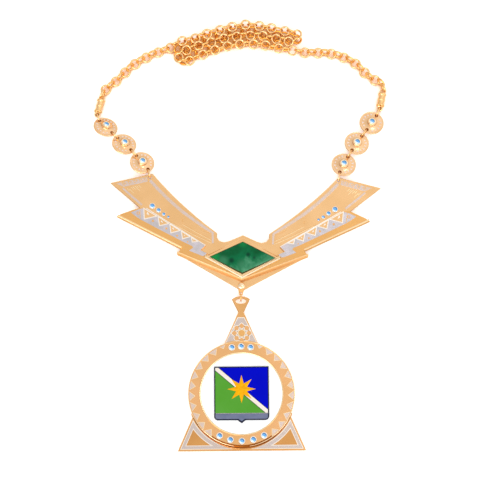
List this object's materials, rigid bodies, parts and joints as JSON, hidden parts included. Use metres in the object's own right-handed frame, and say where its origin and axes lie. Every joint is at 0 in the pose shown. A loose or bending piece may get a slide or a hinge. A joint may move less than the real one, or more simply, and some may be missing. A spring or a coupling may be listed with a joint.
{
  "type": "chain of office with badge",
  "caption": "Chain of office lying flat: winged gilt breast plate with a rhombus stone, a triangular badge with round enamel and shield hanging from it, stone-set discs and a folded link chain.",
  "frame": {"origin": "on the back of the breast plate, which is the surface it lies on, under the centre of the green stone", "axes": "+X to the right across the wings, +Y up from the badge towards the chain, +Z out of the face"},
  "size_m": [0.1861, 0.2783, 0.0084],
  "materials": {
    "gold_plate": "polished",
    "silver_inlay": "satin",
    "green_stone": "polished",
    "blue_stone": "polished",
    "white_enamel": "gloss",
    "blue_enamel": "gloss"
  },
  "bodies": {
    "root": {"badge_plate": "gold_plate", "badge_ring": "gold_plate", "bail": "gold_plate", "breast_base": "gold_plate", "centre_stone": "green_stone", "chain": "gold_plate", "connector_left": "gold_plate", "connector_right": "gold_plate", "disc_left_1": "gold_plate", "disc_left_2": "gold_plate", "disc_left_3": "gold_plate", "disc_right_1": "gold_plate", "disc_right_2": "gold_plate", "disc_right_3": "gold_plate", "enamel_disc": "white_enamel", "eye_ring": "gold_plate", "front_plate": "gold_plate", "jump_ring_left_1": "gold_plate", "jump_ring_left_2": "gold_plate", "jump_ring_left_3": "gold_plate", "jump_ring_left_4": "gold_plate", "jump_ring_right_1": "gold_plate", "jump_ring_right_2": "gold_plate", "jump_ring_right_3": "gold_plate", "jump_ring_right_4": "gold_plate", "shield": "blue_enamel", "stone_bezel": "gold_plate"}
  },
  "joints": []
}
